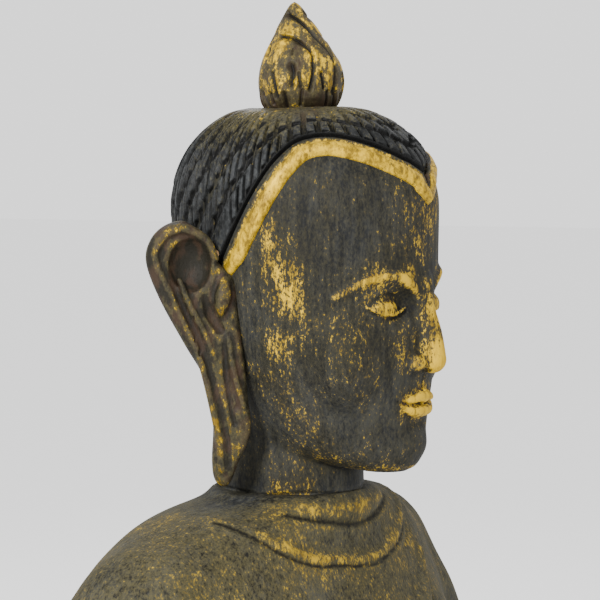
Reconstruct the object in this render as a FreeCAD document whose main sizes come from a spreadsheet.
import FreeCAD, Part

# Seated meditation figure of joined, carved and lacquered wood blocks on an oblong lotus seat.
# Millimetres, +Z up, the figure faces -Y and its right hand side is -X.
# The origin is the middle of the underside. Most sizes follow the carver's module, the finger:
# the face is 12 and a bit fingers long, and the whole image 70 fingers high.

import math
import os

import Sketcher  # noqa: F401  registers the sketch object type

Vector = FreeCAD.Vector
Rotation = FreeCAD.Rotation
Placement = FreeCAD.Placement

DRIVING_SIZES = {
    "finger": 8.0,
    "base_length": 450.0,
    "base_depth": 270.0,
    "foot_height": 18.0,
    "waist_height": 13.0,
    "lotus_height": 33.0,
    "waist_inset": 20.0,
    "lotus_inset": 3.0,
    "edge_round": 5.0,
    "dowel_radius": 5.0,
    "peg_radius": 2.5,
    "finial_peg_radius": 4.0,
    "finial_peg_gap": 0.05,
    "finial_peg_drop": 26.0,
    "band_thickness": 2.2,
    "band_width": 7.0,
    "ear_flare": 35.0,
}

# Levels, in fingers above the floor.
SEAT_LEVEL = 8.0
TORSO_FOOT_LEVEL = 14.5
NECK_SEAM_LEVEL = 47.6
CROWN_LEVEL = 65.0
TIP_LEVEL = 70.0
ARM_PLANE = 11.25
TORSO_SPLIT = 2.6
TORSO_Y = 2.0

doc = FreeCAD.newDocument("seated_statue")
sheet = doc.addObject("Spreadsheet::Sheet", "Sizes")
nodes = []


def fill_sheet():
    """Writes the driving sizes, one row each, with an alias."""
    for row, (alias, value) in enumerate(DRIVING_SIZES.items(), start=1):
        sheet.set(f"A{row}", alias)
        sheet.set(f"B{row}", str(value))
        sheet.setAlias(f"B{row}", alias)
    doc.recompute()


def size(alias):
    return float(getattr(sheet, alias))


def fingers(count):
    return count * size("finger")


def bind(item, **expressions):
    """Binds properties to sheet expressions. A number stands for that many fingers."""
    for name, expression in expressions.items():
        if not isinstance(expression, str):
            expression = f"{expression:.6g} * Sizes.finger"
        item.setExpression(name, expression)
    return item


def place(item, x=0, y=0, z=0):
    """Binds the item's position, each coordinate in fingers or as an expression."""
    for axis, value in zip("xyz", (x, y, z)):
        expression = value if isinstance(value, str) else f"{value:.6g} * Sizes.finger"
        item.setExpression(f".Placement.Base.{axis}", expression)
    return item


def primitive(kind, name, position=(0, 0, 0), turn=None, **sizes):
    item = doc.addObject(f"Part::{kind}", name)
    if turn:
        item.Placement = Placement(Vector(), turn)
    bind(item, **sizes)
    return place(item, *position)


def joined(name, *parts):
    """A fused solid of several parts."""
    item = doc.addObject("Part::MultiFuse", name)
    item.Shapes = list(parts)
    return item


def common(name, first, second):
    item = doc.addObject("Part::Common", name)
    item.Base, item.Tool = first, second
    return item


def cut(name, base, *tools):
    """The base with each tool taken out of it."""
    item = doc.addObject("Part::Cut", name)
    item.Base = base
    item.Tool = tools[0] if len(tools) == 1 else joined(f"{name}_tools", *tools)
    return item


def mirrored(name, source):
    """A copy on the other side of the middle plane."""
    item = doc.addObject("Part::Mirroring", name)
    item.Source = source
    item.Base, item.Normal = Vector(), Vector(1, 0, 0)
    return item


def group(name, parts):
    """Identical fasteners that share one node as separate solids."""
    item = doc.addObject("Part::Compound", name)
    item.Links = list(parts)
    return item


def node(label, item):
    """Marks the item as a finished piece, whose label names its file."""
    item.Label = label
    nodes.append(item)
    return item


def ring(name, centre, turn, first, second):
    """An ellipse in the turned XY plane, with its larger radius first."""
    return primitive("Ellipse", name, centre, turn, MajorRadius=first, MinorRadius=second)


def skin_over(name, rings):
    item = doc.addObject("Part::Loft", name)
    item.Sections = rings
    item.Solid = True
    return item


def loft(name, sections, deep=False):
    """A smooth solid through level ellipses: (level, half width, half depth, x, y), in fingers.

    deep says that every section is deeper, front to back, than it is wide.
    """
    rings = []
    turn = Rotation(Vector(0, 0, 1), 90) if deep else None
    for index, (level, half_width, half_depth, x, y) in enumerate(sections):
        radii = (half_depth, half_width) if deep else (half_width, half_depth)
        rings.append(ring(f"{name}_ring_{index}", (x, y, level), turn, *radii))
    return skin_over(name, rings)


def block(name, low, high):
    """A box between two corners, in fingers."""
    lengths = [b - a for a, b in zip(low, high)]
    return primitive("Box", name, low, Length=lengths[0], Width=lengths[1], Height=lengths[2])


def between(start, end):
    """The turn that lays +Z along the line from start to end, and the line's length."""
    line = Vector(*end) - Vector(*start)
    return Rotation(Vector(0, 0, 1), line), line.Length


def taper(name, start, end, first, last):
    """A cone from start to end with its two radii, in fingers."""
    turn, length = between(start, end)
    return primitive(
        "Cone", name, start, turn, Radius1=first, Radius2=last, Height=length
    )


def ball(name, centre, radius):
    return primitive("Sphere", name, centre, Radius=radius)


def limb(name, start, end, first, last):
    """A tapered limb with round ends."""
    return joined(
        name,
        taper(f"{name}_shaft", start, end, first, last),
        ball(f"{name}_start", start, first),
        ball(f"{name}_end", end, last),
    )


def ellipsoid(name, centre, half_width, half_depth, half_height):
    """Part's Radius1 runs up, Radius2 across and Radius3 front to back."""
    return primitive(
        "Ellipsoid",
        name,
        centre,
        Radius1=half_height,
        Radius2=half_width,
        Radius3=half_depth,
    )


def rod(name, start, end, radius="Sizes.dowel_radius"):
    turn, length = between(start, end)
    return primitive("Cylinder", name, start, turn, Radius=radius, Height=length)


def rods(name, ends, radius="Sizes.dowel_radius"):
    return [rod(f"{name}_{i}", a, b, radius) for i, (a, b) in enumerate(ends)]


# ---------------------------------------------------------------- the lotus seat


def origin_plane(body, role):
    return next(f for f in body.Origin.OriginFeatures if f.Role == role)


def oblong_sketch(body, name, inset, level):
    """Two half circles joined by straight sides, inset from the seat's outline."""
    sketch = body.newObject("Sketcher::SketchObject", name)
    sketch.AttachmentSupport = [(origin_plane(body, "XY_Plane"), "")]
    sketch.MapMode = "FlatFace"
    sketch.setExpression(".AttachmentOffset.Base.z", level)
    radius = size("base_depth") / 2
    reach = size("base_length") / 2 - radius
    quarter = math.pi / 2
    for side in (1, -1):
        circle = Part.Circle(Vector(side * reach, 0, 0), Vector(0, 0, 1), radius)
        start = -quarter if side == 1 else quarter
        sketch.addGeometry(Part.ArcOfCircle(circle, start, start + math.pi), False)
    sketch.addGeometry(
        Part.LineSegment(Vector(reach, radius, 0), Vector(-reach, radius, 0)), False
    )
    sketch.addGeometry(
        Part.LineSegment(Vector(-reach, -radius, 0), Vector(reach, -radius, 0)), False
    )
    for arc, end, line, line_end in ((0, 2, 2, 1), (2, 2, 1, 1), (1, 2, 3, 1), (3, 2, 0, 1)):
        sketch.addConstraint(Sketcher.Constraint("Tangent", arc, end, line, line_end))
    sketch.addConstraint(Sketcher.Constraint("Symmetric", 0, 3, 1, 3, -1, 1))
    sketch.addConstraint(Sketcher.Constraint("Horizontal", 0, 3, 1, 3))
    sketch.addConstraint(Sketcher.Constraint("Equal", 0, 1))
    radius_at = sketch.addConstraint(Sketcher.Constraint("Radius", 0, radius))
    reach_at = sketch.addConstraint(
        Sketcher.Constraint("DistanceX", 1, 3, 0, 3, 2 * reach)
    )
    sketch.setExpression(f"Constraints[{radius_at}]", f"Sizes.base_depth / 2 - {inset}")
    sketch.setExpression(
        f"Constraints[{reach_at}]", "Sizes.base_length - Sizes.base_depth"
    )
    return sketch


def tier(label, inset, level, height, rounded):
    """One board of the seat, with the named edges rounded."""
    body = doc.addObject("PartDesign::Body", f"{label}_board")
    sketch = oblong_sketch(body, f"{label}_outline", inset, level)
    pad = body.newObject("PartDesign::Pad", f"{label}_pad")
    pad.Profile = sketch
    pad.setExpression("Length", height)
    doc.recompute()
    edges = []
    for index, edge in enumerate(pad.Shape.Edges, start=1):
        low, high = edge.BoundBox.ZMin, edge.BoundBox.ZMax
        top = pad.Shape.BoundBox.ZMax
        at_top = abs(low - top) < 0.01
        at_foot = abs(high - pad.Shape.BoundBox.ZMin) < 0.01
        if (at_top and "top" in rounded) or (at_foot and "foot" in rounded):
            edges.append(f"Edge{index}")
    if edges:
        fillet = body.newObject("PartDesign::Fillet", f"{label}_round")
        fillet.Base = (pad, edges)
        fillet.setExpression("Radius", "Sizes.edge_round")
    return body


def seat_tiers():
    """Foot, waist and lotus boards, held together by four upright dowels."""
    foot = tier("foot", "0", "0", "Sizes.foot_height", ("top",))
    waist = tier(
        "waist", "Sizes.waist_inset", "Sizes.foot_height", "Sizes.waist_height", ()
    )
    lotus = tier(
        "lotus",
        "Sizes.lotus_inset",
        "Sizes.foot_height + Sizes.waist_height",
        "Sizes.lotus_height",
        ("top", "foot"),
    )
    corners = [(x, y) for x in (-17.5, 17.5) for y in (-8, 8)]
    ends = [((x, y, 1.0), (x, y, 6.5)) for x, y in corners]
    dowels = rods("tier_dowel", ends)
    seat_ends = [((x, y, 6.0), (x, y, 10.5)) for x in (-9.0, 9.0) for y in (-6.5, 5.0)]
    seat_dowels = rods("seat_dowel", seat_ends)
    node("foot_tier", cut("foot_tier_cut", foot, *dowels))
    node("waist_tier", cut("waist_tier_cut", waist, *dowels))
    node("lotus_tier", cut("lotus_tier_cut", lotus, *dowels, *seat_dowels))
    node("tier_dowels", group("tier_dowel_group", dowels))
    node("seat_dowels", group("seat_dowel_group", seat_dowels))
    return seat_dowels


# ---------------------------------------------------------------- torso and arms


def torso_solid():
    """Waist, chest and broad level shoulders, up to the seam round the neck."""
    y = TORSO_Y
    return loft(
        "torso_form",
        [
            (TORSO_FOOT_LEVEL, 10.8, 7.4, 0, y),
            (18.0, 10.3, 6.9, 0, y),
            (22.0, 10.3, 6.6, 0, y),
            (27.0, 11.0, 6.7, 0, y),
            (32.0, 12.0, 6.9, 0, y),
            (37.0, 13.0, 6.9, 0, y),
            (41.0, 13.3, 6.6, 0, y),
            (43.2, 12.6, 6.0, 0, y),
            (44.6, 11.3, 5.3, 0, y - 0.1),
            (45.7, 9.6, 4.7, 0, y - 0.4),
            (46.5, 7.6, 4.15, 0, y - 0.8),
            (47.1, 5.4, 3.7, 0, y - 1.1),
            (NECK_SEAM_LEVEL, 3.6, 3.5, 0, y - 1.2),
        ],
    )


def arm_solid():
    """The left side block: shoulder cap and upper arm down to the elbow."""
    return loft(
        "arm_form",
        [
            (21.0, 1.7, 2.2, 14.2, 1.2),
            (22.4, 2.7, 3.2, 14.3, 1.2),
            (25.0, 3.1, 3.7, 14.3, 1.4),
            (30.0, 3.2, 3.9, 13.9, 1.8),
            (34.5, 3.3, 4.2, 13.2, 2.0),
            (38.0, 3.3, 4.3, 12.6, 2.0),
            (41.0, 3.2, 4.1, 11.7, 2.0),
            (43.0, 2.7, 3.6, 11.0, 2.0),
            (44.3, 2.0, 2.8, 10.4, 2.0),
            (45.1, 1.2, 1.8, 10.0, 2.0),
        ],
        deep=True,
    )


ELBOW = (14.3, 0.4, 23.2)
LEFT_WRIST = (6.4, -9.4, 16.1)
RIGHT_WRIST = (-6.4, -9.4, 17.7)


def forearm(name, elbow, wrist):
    """A tapered forearm whose butt end is a flat glue face a little in front of the elbow."""
    start = Vector(*elbow) + (Vector(*wrist) - Vector(*elbow)) * 0.14
    return taper(name, tuple(start), wrist, 2.75, 1.75)


def along(start, end, share):
    return tuple(Vector(*start) + (Vector(*end) - Vector(*start)) * share)


def chamber_tools(core):
    """The back panel's board and the chamber that it closes, both cut from the torso's back."""
    panel_box = block("panel_box", (-3.5, 7.5, 22.0), (3.5, 10.5, 34.0))
    panel = common("back_panel_form", core, panel_box)
    chamber = primitive(
        "Box",
        "chamber",
        (-2.5, 4.2, 23.0),
        Length=5.0,
        Width=3.3,
        Height=10.0,
    )
    return panel_box, panel, chamber


def torso_and_arms(seat_dowels):
    """Front and back core blocks, two side blocks, two forearms and the dowels between them."""
    core = common(
        "torso_core",
        torso_solid(),
        block("core_box", (-ARM_PLANE, -10, TORSO_FOOT_LEVEL), (ARM_PLANE, 14, 50)),
    )
    front_box = block("front_box", (-14, -10, 10), (14, TORSO_SPLIT, 50))
    panel_box, panel, chamber = chamber_tools(core)
    tenon = block("neck_tenon", (-1.6, -0.7, 42.8), (1.6, 2.4, NECK_SEAM_LEVEL + 0.5))
    neck_peg = rod("neck_pin", (0, -2.6, 45.0), (0, 5.2, 45.0), "Sizes.peg_radius")
    panel_pegs = rods(
        "panel_pin",
        [((x, 6.6, z), (x, 8.3, z)) for x in (-3.0, 3.0) for z in (22.5, 33.5)],
        "Sizes.peg_radius / 2",
    )
    core_dowels = rods(
        "core_dowel",
        [((x, -0.5, z), (x, 4.5, z)) for x in (-7.5, 7.5) for z in (19.0, 36.0)],
    )
    torso_dowels = rods(
        "torso_dowel", [((x, 4.5, 12.0), (x, 4.5, 17.5)) for x in (-5.5, 5.5)]
    )
    shoulder_dowels = rods(
        "shoulder_dowel",
        [((side * 9.0, 3.4, z), (side * 13.5, 3.4, z)) for side in (-1, 1) for z in (28, 38)],
    )
    inner = [*core_dowels, *torso_dowels, *shoulder_dowels]
    front = cut("torso_front_cut", common("torso_front_form", core, front_box),
                tenon, neck_peg, *inner)
    back = cut("torso_back_cut", core, front_box, panel_box, chamber, tenon, neck_peg,
               *panel_pegs, *inner)
    node("torso_front", front)
    node("torso_back", back)
    node("back_panel", cut("back_panel_cut", panel, *panel_pegs))

    outer_box = block("arm_box", (ARM_PLANE, -10, 18), (20, 14, 46))
    left_form = common("left_arm_form", arm_solid(), outer_box)
    right_form = mirrored("right_arm_form", left_form)
    left_fore = forearm("left_fore_form", ELBOW, LEFT_WRIST)
    right_elbow = (-ELBOW[0], *ELBOW[1:])
    right_fore = forearm("right_fore_form", right_elbow, RIGHT_WRIST)
    elbow_dowels = rods(
        "elbow_dowel",
        [
            (along(e, w, 0.02), along(e, w, 0.4))
            for e, w in ((ELBOW, LEFT_WRIST), (right_elbow, RIGHT_WRIST))
        ],
    )
    wrist_dowels = rods(
        "wrist_dowel",
        [
            (along(ELBOW, LEFT_WRIST, 0.8), along(ELBOW, LEFT_WRIST, 1.12)),
            (along(right_elbow, RIGHT_WRIST, 0.8), along(right_elbow, RIGHT_WRIST, 1.12)),
        ],
        "Sizes.peg_radius",
    )
    for side, form, fore, elbow_dowel, wrist_dowel in (
        ("left", left_form, left_fore, elbow_dowels[0], wrist_dowels[0]),
        ("right", right_form, right_fore, elbow_dowels[1], wrist_dowels[1]),
    ):
        arm = cut(f"{side}_arm_cut", form, fore, core, elbow_dowel, *shoulder_dowels)
        node(f"{side}_arm", arm)
        node(f"{side}_forearm", cut(f"{side}_forearm_cut", fore, core, elbow_dowel, wrist_dowel))
    node("core_dowels", group("core_dowel_group", core_dowels))
    node("torso_dowels", group("torso_dowel_group", torso_dowels))
    node("shoulder_dowels", group("shoulder_dowel_group", shoulder_dowels))
    node("elbow_dowels", group("elbow_dowel_group", elbow_dowels))
    node("wrist_dowels", group("wrist_dowel_group", wrist_dowels))
    node("panel_pegs", group("panel_peg_group", panel_pegs))
    node("neck_peg", neck_peg)
    lap_block(core, seat_dowels, torso_dowels)
    hands(left_fore, right_fore, wrist_dowels)
    return tenon, neck_peg


def lap_block(core, seat_dowels, torso_dowels):
    """The crossed legs under the robe, right over left, carved from one wide block."""
    parts = [
        ellipsoid("lap_middle", (0, -5.5, 9.6), 17, 9.5, 4.6),
        ellipsoid("hips", (0, 2.6, 10.6), 13.5, 7.6, 6.0),
    ]
    for side, word in ((1, "left"), (-1, "right")):
        hip, knee = (side * 7.0, 2.6, 11.8), (side * 22.4, -3.8, 11.2)
        parts.append(limb(f"{word}_thigh", hip, knee, 4.4, 3.6))
    parts.append(limb("left_shin", (22.0, -5.4, 10.8), (-7.0, -12.4, 10.4), 3.2, 2.3))
    parts.append(limb("right_shin", (-22.0, -5.4, 11.0), (7.0, -12.2, 11.6), 3.2, 2.2))
    sole = ellipsoid("right_sole", (12.0, -9.0, 13.4), 5.6, 2.2, 1.2)
    parts.append(sole)
    above_seat = block("lap_box", (-30, -18, SEAT_LEVEL), (30, 14, 20))
    form = common("lap_form", joined("lap_joined", *parts), above_seat)
    node("lap_block", cut("lap_cut", form, core, *seat_dowels, *torso_dowels))


# Left hand from the wrist to the finger tips: x, half width, half thickness, y, z above the palm.
HAND_RINGS = [
    (6.9, 1.35, 1.1, -9.6, 0.35),
    (5.0, 1.95, 1.0, -10.4, 0.15),
    (2.6, 2.55, 0.95, -11.2, 0.0),
    (0.0, 2.4, 0.8, -11.6, 0.0),
    (-3.4, 2.05, 0.62, -11.8, 0.0),
    (-5.4, 1.5, 0.42, -11.8, 0.0),
]
FINGER_PITCH = 1.05
THUMB_TIP_LEVEL = 19.3
LEFT_PALM_LEVEL = 15.55
RIGHT_PALM_LEVEL = 17.35


def hand(name, side, level):
    """A flat hand, palm up, its fingers laid across the lap. side is 1 for the left hand."""
    upright = Rotation(Vector(0, 1, 0), Vector(0, 0, 1), Vector(1, 0, 0), "ZXY")
    rings = [
        ring(f"{name}_ring_{i}", (side * x, y, level + rise), upright, width, thickness)
        for i, (x, width, thickness, y, rise) in enumerate(HAND_RINGS)
    ]
    palm = skin_over(f"{name}_palm", rings)
    grooves = []
    for index in (-1, 0, 1):
        y = -11.8 + index * FINGER_PITCH
        ends = sorted((side * 0.2, side * -5.6))
        low, high = (ends[0], y - 0.06, level + 0.35), (ends[1], y + 0.06, level + 1.2)
        grooves.append(block(f"{name}_groove_{index + 1}", low, high))
    thumb = limb(
        f"{name}_thumb",
        (side * 4.6, -9.3, level + 0.5),
        (side * 0.5, -8.5, THUMB_TIP_LEVEL),
        0.75,
        0.5,
    )
    return joined(name, cut(f"{name}_fingers", palm, *grooves), thumb)


def hands(left_fore, right_fore, wrist_dowels):
    """The right hand lies on the left, both palms up, and the thumb tips meet."""
    left = hand("left_hand_form", 1, LEFT_PALM_LEVEL)
    right = hand("right_hand_form", -1, RIGHT_PALM_LEVEL)
    right_cut = cut("right_hand_cut", right, right_fore, left_fore, wrist_dowels[1])
    node("right_hand", right_cut)
    node("left_hand", cut("left_hand_cut", left, right, left_fore, right_fore, wrist_dowels[0]))


# ---------------------------------------------------------------- head and finial

SKULL_LEVEL = 60.2
DOME_RISE = 4.95
DOME_FULLNESS = 2.3
DOME_LEVELS = (60.2, 61.6, 62.9, 63.9, 64.6, CROWN_LEVEL)


def head_sections(grow=0.0):
    """Chin to crown. The dome is a full superellipse that ends in a flat seat for the finial."""
    rings = [
        (49.0, 2.0, 2.4, 0, -3.4),
        (49.6, 2.9, 3.5, 0, -2.5),
        (51.2, 3.8, 4.6, 0, -1.5),
        (53.6, 4.6, 5.4, 0, -0.9),
        (56.6, 5.15, 6.1, 0, -0.4),
    ]
    for level in DOME_LEVELS:
        rise = (level - SKULL_LEVEL) / DOME_RISE
        share = (1 - rise**DOME_FULLNESS) ** (1 / DOME_FULLNESS)
        rings.append((level, 5.4 * share, 6.4 * share, 0, -0.45 * share + 0.15))
    return [(z, a + grow, b + grow, x, y) for z, a, b, x, y in rings]


def finial_body():
    """A lotus bud turned about the upright axis, with its peg hole."""
    body = doc.addObject("PartDesign::Body", "finial_bud")
    sketch = body.newObject("Sketcher::SketchObject", "bud_profile")
    sketch.AttachmentSupport = [(origin_plane(body, "XZ_Plane"), "")]
    sketch.MapMode = "FlatFace"
    foot, tip = fingers(CROWN_LEVEL), fingers(TIP_LEVEL)
    foot_radius, wide_radius, wide_at = fingers(1.65), fingers(2.0), fingers(1.3)
    rise_at = Vector(fingers(1.9), foot + wide_at * 0.5, 0)
    shoulder_at = Vector(fingers(1.25), foot + fingers(3.1), 0)
    wide = Vector(wide_radius, foot + wide_at, 0)
    sketch.addGeometry(
        Part.LineSegment(Vector(0, foot, 0), Vector(foot_radius, foot, 0)), False
    )
    sketch.addGeometry(Part.Arc(Vector(foot_radius, foot, 0), rise_at, wide), False)
    sketch.addGeometry(Part.Arc(wide, shoulder_at, Vector(0.6, tip, 0)), False)
    sketch.addGeometry(Part.LineSegment(Vector(0.6, tip, 0), Vector(0, tip, 0)), False)
    sketch.addGeometry(Part.LineSegment(Vector(0, tip, 0), Vector(0, foot, 0)), False)
    for first, second in ((0, 1), (1, 2), (2, 3), (3, 4), (4, 0)):
        sketch.addConstraint(Sketcher.Constraint("Coincident", first, 2, second, 1))
    sketch.addConstraint(Sketcher.Constraint("PointOnObject", 0, 1, -2))
    sketch.addConstraint(Sketcher.Constraint("Vertical", 4))
    sketch.addConstraint(Sketcher.Constraint("Horizontal", 0))
    sketch.addConstraint(Sketcher.Constraint("Horizontal", 3))
    for kind, geometry, point, value, expression in (
        ("DistanceY", 0, 1, foot, f"{CROWN_LEVEL} * Sizes.finger"),
        ("DistanceX", 0, 2, foot_radius, "1.65 * Sizes.finger"),
        ("DistanceX", 1, 2, wide_radius, "2 * Sizes.finger"),
        ("DistanceY", 1, 2, foot + wide_at, f"({CROWN_LEVEL} + 1.3) * Sizes.finger"),
        ("DistanceY", 2, 2, tip, f"{TIP_LEVEL} * Sizes.finger"),
    ):
        at = sketch.addConstraint(Sketcher.Constraint(kind, -1, 1, geometry, point, value))
        sketch.setExpression(f"Constraints[{at}]", expression)
    revolution = body.newObject("PartDesign::Revolution", "bud_revolution")
    revolution.Profile = sketch
    revolution.ReferenceAxis = (sketch, ["V_Axis"])
    revolution.Angle = 360
    return body


def finial_and_head(tenon, neck_peg):
    """The head block with its neck tenon, two ears, the hairline band and the pegged finial."""
    skull = loft("head_form", head_sections(), deep=True)
    neck = loft(
        "neck_form",
        [
            (NECK_SEAM_LEVEL, 3.4, 3.5, 0, 0.8),
            (48.6, 3.1, 3.3, 0, 0.8),
            (50.0, 3.1, 3.3, 0, 0.8),
            (53.0, 3.2, 3.4, 0, 0.6),
        ],
        deep=True,
    )
    nose = taper("nose_form", (0, -6.0, 57.6), (0, -6.15, 53.6), 0.45, 1.15)
    block_form = joined("head_joined", skull, neck, nose, tenon)
    peg_radius = "Sizes.finial_peg_radius"
    peg_foot = f"{CROWN_LEVEL} * Sizes.finger - Sizes.finial_peg_drop"
    peg = primitive(
        "Cylinder",
        "finial_peg_form",
        (0, 0, peg_foot),
        Radius=peg_radius,
        Height="Sizes.finial_peg_drop + 2 * Sizes.finger",
    )
    socket = primitive(
        "Cylinder",
        "finial_socket",
        (0, 0, f"{peg_foot} - Sizes.finger / 4"),
        Radius=f"{peg_radius} + Sizes.finial_peg_gap",
        Height="Sizes.finial_peg_drop + 2 * Sizes.finger",
    )
    ear_form, ear_pegs = left_ear_form()
    node("head_block", cut("head_cut", block_form, socket, neck_peg, *ear_pegs))
    left = cut("left_ear_cut", ear_form, skull, neck, *ear_pegs)
    right = cut("right_ear_cut", mirrored("right_ear_form", ear_form), skull, neck, *ear_pegs)
    node("left_ear", left)
    node("right_ear", right)
    node("ear_pegs", group("ear_peg_group", ear_pegs))
    node("hairline_band", cut("band_cut", band_form(), skull, left, right))
    node("finial", cut("finial_cut", finial_body(), peg))
    node("finial_peg", peg)


def left_ear_form():
    """A long flared ear: lobe, shell and rim in one plate, hollowed at the shell."""
    plate = loft(
        "ear_plate",
        [
            (48.1, 0.35, 0.3, 0.78, 0),
            (48.7, 0.62, 0.45, 0.75, 0),
            (50.2, 0.85, 0.5, 0.5, 0),
            (52.0, 1.1, 0.55, 0.5, 0),
            (54.0, 1.5, 0.62, 0.95, 0),
            (56.0, 1.9, 0.7, 1.5, 0),
            (57.8, 2.2, 0.8, 2.0, 0),
            (59.2, 1.9, 0.75, 2.25, 0),
            (60.0, 1.0, 0.5, 2.4, 0),
        ],
    )
    shell = ellipsoid("ear_shell", (2.2, -0.95, 57.6), 1.25, 0.75, 1.5)
    ear = cut("ear_carved", plate, shell)
    turned = doc.addObject("Part::Feature", "left_ear_form")
    doc.recompute()
    turned.Shape = ear.Shape
    turned.Placement = Placement(
        Vector(fingers(4.75), fingers(0.3), 0),
        Rotation(Vector(0, 0, 1), 90 - size("ear_flare")),
    )
    pegs = rods(
        "ear_pin",
        [
            ((side * 3.6, 1.2, z), (side * 5.5, 1.2, z))
            for side in (-1, 1)
            for z in (55.0, 58.5)
        ],
        "Sizes.peg_radius / 2",
    )
    return turned, pegs


# Upper edge of the hairline band, seen from the side: y, z.
BAND_UPPER_EDGE = [
    (-7.8, 60.8),
    (-6.4, 62.0),
    (-5.0, 63.1),
    (-3.4, 63.5),
    (-2.1, 63.0),
    (-1.1, 61.6),
    (-0.2, 59.9),
    (0.8, 58.0),
]


def band_form():
    """A raised strip along the hairline: it arches from ear to ear and dips over the forehead."""
    outer = loft("band_outer", head_sections(size("band_thickness") / size("finger")), deep=True)
    width = size("band_width")
    upper = [Vector(0, fingers(y), fingers(z)) for y, z in BAND_UPPER_EDGE]
    line = Part.BSplineCurve()
    line.interpolate(upper)
    lower_line = line.copy()
    lower_line.translate(Vector(0, -width * 0.45, -width * 0.9))
    top, foot = line.toShape(), lower_line.toShape()
    sides = [
        Part.makeLine(line.value(at(line)), lower_line.value(at(lower_line)))
        for at in (lambda c: c.FirstParameter, lambda c: c.LastParameter)
    ]
    wire = Part.Wire(Part.__sortEdges__([top, sides[1], foot, sides[0]]))
    strip = Part.Face(wire).extrude(Vector(fingers(14), 0, 0))
    strip.translate(Vector(-fingers(7), 0, 0))
    feature = doc.addObject("Part::Feature", "band_strip")
    feature.Shape = strip
    return common("band_form", outer, feature)


def check_and_write():
    """Stops on any failed object, then writes one file for each node."""
    doc.recompute()
    for item in doc.Objects:
        if "Invalid" in item.State or "Error" in item.State:
            raise RuntimeError(f"{item.Label} failed: {item.State}")
    os.makedirs("parts", exist_ok=True)
    for item in nodes:
        shape = item.Shape
        if shape.isNull() or not shape.isValid() or not shape.Solids:
            raise RuntimeError(f"{item.Label} has no valid solid")
        volumes = [round(solid.Volume / 1000, 2) for solid in shape.Solids]
        print(f"{item.Label:16s} solids {len(shape.Solids):2d}  cm3 {volumes}")
        shape.exportStep(f"parts/{item.Label}.step")


fill_sheet()
neck_tenon, pin = torso_and_arms(seat_tiers())
finial_and_head(neck_tenon, pin)
check_and_write()
